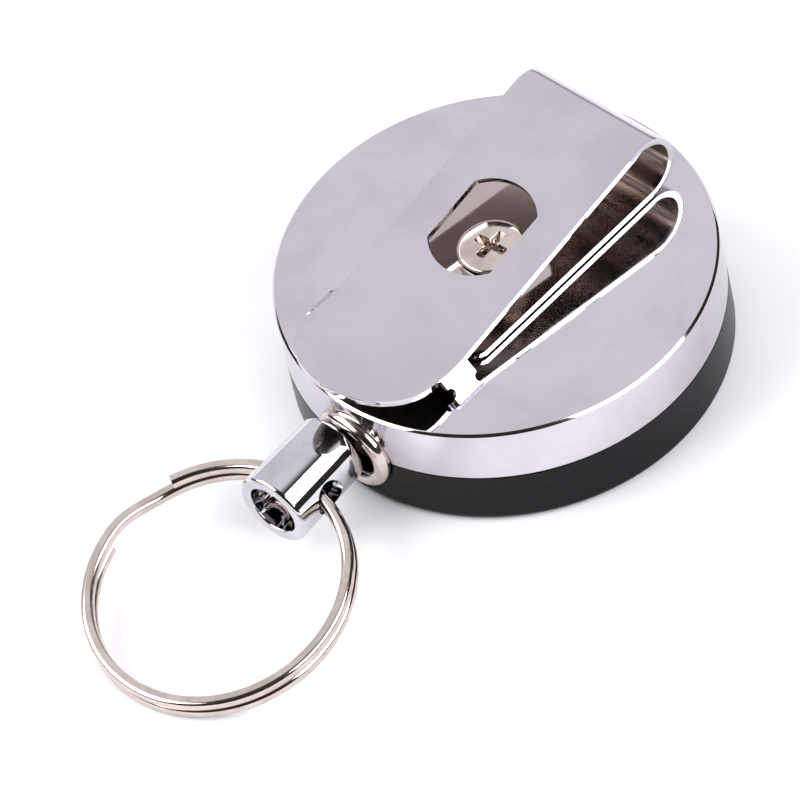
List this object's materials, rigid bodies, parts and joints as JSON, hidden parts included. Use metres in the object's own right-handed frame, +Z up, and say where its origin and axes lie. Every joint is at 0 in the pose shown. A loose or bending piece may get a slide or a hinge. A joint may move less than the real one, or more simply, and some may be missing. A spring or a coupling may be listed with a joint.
{
  "type": "retractable badge reel",
  "caption": "Round spring-loaded badge reel with a chrome back, belt clip, cord bell and split key ring.",
  "frame": {"origin": "centre of the front cover's flat face, on the case's axis", "axes": "+Z up the case's axis from the front cover to the belt clip, -Y out along the cord's way out, +X to the right seen from the cord's side"},
  "size_m": [0.04, 0.0699, 0.0186],
  "materials": {
    "black_abs": "satin moulded",
    "chromed_steel": "polished chrome plate",
    "zinc_steel": "zinc plated",
    "white_acetal": "moulded",
    "nickel": "nickel plate",
    "spring_steel": "blued spring strip",
    "nylon_cord": "braided nylon",
    "chromed_brass": "polished chrome plate",
    "clip_steel": "polished nickel-chrome plate"
  },
  "bodies": {
    "case": {"front_cover": "black_abs", "back_shell": "chromed_steel", "arbor_post": "zinc_steel", "lower_slip_washer": "white_acetal", "upper_slip_washer": "white_acetal", "cord_eyelet": "nickel", "clip_base": "clip_steel", "clip_screw": "nickel"},
    "clip_arm": {"clip_arm": "clip_steel"},
    "spool": {"spool_body": "white_acetal", "spool_flange": "white_acetal", "spring_cover": "zinc_steel", "power_spring": "spring_steel", "wound_cord": "nylon_cord", "spool_knot": "nylon_cord"},
    "cord_end": {"cord_lead": "nylon_cord", "end_knot": "nylon_cord"},
    "bell": {"bell": "chromed_brass"},
    "ring": {"split_ring": "nickel"}
  },
  "joints": [
    {"name": "cord_pull", "type": "slide", "parent": "case", "child": "cord_end", "axis": [0, -1, 0], "range_m": [0, 0.6], "stiffness_N_per_m": 6, "springref_m": -0.06, "deforming": ["cord_lead"]},
    {"name": "spool_spin", "type": "hinge", "parent": "case", "child": "spool", "pos_m": [0, 0, 0.0059], "axis": [0, 0, 1], "range_deg": [0, 2380], "deforming": ["power_spring"]},
    {"name": "bell_swivel", "type": "hinge", "parent": "cord_end", "child": "bell", "pos_m": [-0.0016, -0.0209, 0.0059], "axis": [0.0523, -0.9986, 0], "continuous": true},
    {"name": "ring_swing", "type": "hinge", "parent": "bell", "child": "ring", "pos_m": [-0.00135, -0.02569, 0.0059], "axis": [-0.9986, -0.0523, 0], "range_deg": [-100, 125]},
    {"name": "clip_flex", "type": "hinge", "parent": "case", "child": "clip_arm", "pos_m": [0, 0.0136, 0.01515], "axis": [-1, 0, 0], "range_deg": [0, 8], "stiffness_Nm_per_rad": 2.4}
  ],
  "couplings": [
    {"joint": "spool_spin", "follows": "cord_pull", "rad_per_m": 69}
  ]
}
